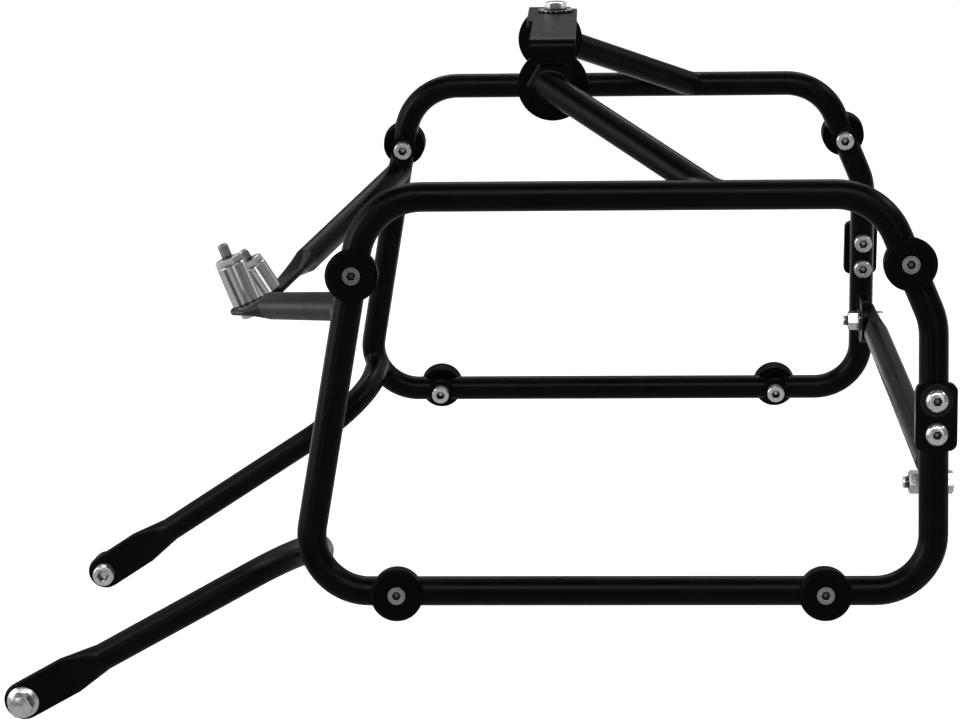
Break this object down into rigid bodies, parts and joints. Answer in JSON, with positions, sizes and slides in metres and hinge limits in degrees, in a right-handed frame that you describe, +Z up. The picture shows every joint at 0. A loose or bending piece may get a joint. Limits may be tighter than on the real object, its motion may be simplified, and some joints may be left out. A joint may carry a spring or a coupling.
{
  "type": "pannier frame",
  "caption": "Motorbike pannier frame of bent tube: side hoops with round mounting pucks, stays to the bike, a rear cross bar and a folded tail bracket.",
  "frame": {"origin": "middle of the overall box", "axes": "+X rearwards, +Y to the bike's right, +Z up"},
  "size_m": [0.61, 0.525, 0.4629],
  "materials": {
    "powder_coat": "satin black powder coat",
    "black_steel": "satin black",
    "puck_plastic": "matte",
    "plated_steel": "bright zinc plate",
    "turned_aluminium": "turned"
  },
  "bodies": {
    "root": {"cross_bar": "powder_coat", "cross_bar_bolts": "plated_steel", "cross_bar_nuts": "plated_steel", "cross_bar_washers": "plated_steel", "left_brace_tab": "powder_coat", "left_hoop": "powder_coat", "left_lock_plate": "powder_coat", "left_lower_front_puck": "puck_plastic", "left_lower_rear_puck": "puck_plastic", "left_lower_stay": "powder_coat", "left_peg_bolt": "plated_steel", "left_puck_bosses": "powder_coat", "left_spacer": "turned_aluminium", "left_tail_boss": "powder_coat", "left_tail_bracket": "powder_coat", "left_top_stay": "powder_coat", "left_upper_front_puck": "puck_plastic", "left_upper_rear_puck": "puck_plastic", "left_upper_stay": "powder_coat", "lock_plate_nuts": "plated_steel", "lock_plate_screws": "plated_steel", "lock_plate_washers": "black_steel", "puck_inserts": "plated_steel", "puck_screws": "plated_steel", "right_brace_tab": "powder_coat", "right_hoop": "powder_coat", "right_lock_plate": "powder_coat", "right_lower_front_puck": "puck_plastic", "right_lower_rear_puck": "puck_plastic", "right_lower_stay": "powder_coat", "right_peg_screw": "plated_steel", "right_peg_spacer": "black_steel", "right_puck_bosses": "powder_coat", "right_spacer": "turned_aluminium", "right_tail_boss": "powder_coat", "right_tail_bracket": "powder_coat", "right_top_stay": "powder_coat", "right_upper_front_puck": "puck_plastic", "right_upper_rear_puck": "puck_plastic", "right_upper_stay": "powder_coat", "spacer_bolts": "plated_steel", "spacer_nuts": "plated_steel", "tail_bolt": "plated_steel", "tail_nut": "plated_steel", "tail_washer": "plated_steel"}
  },
  "joints": []
}
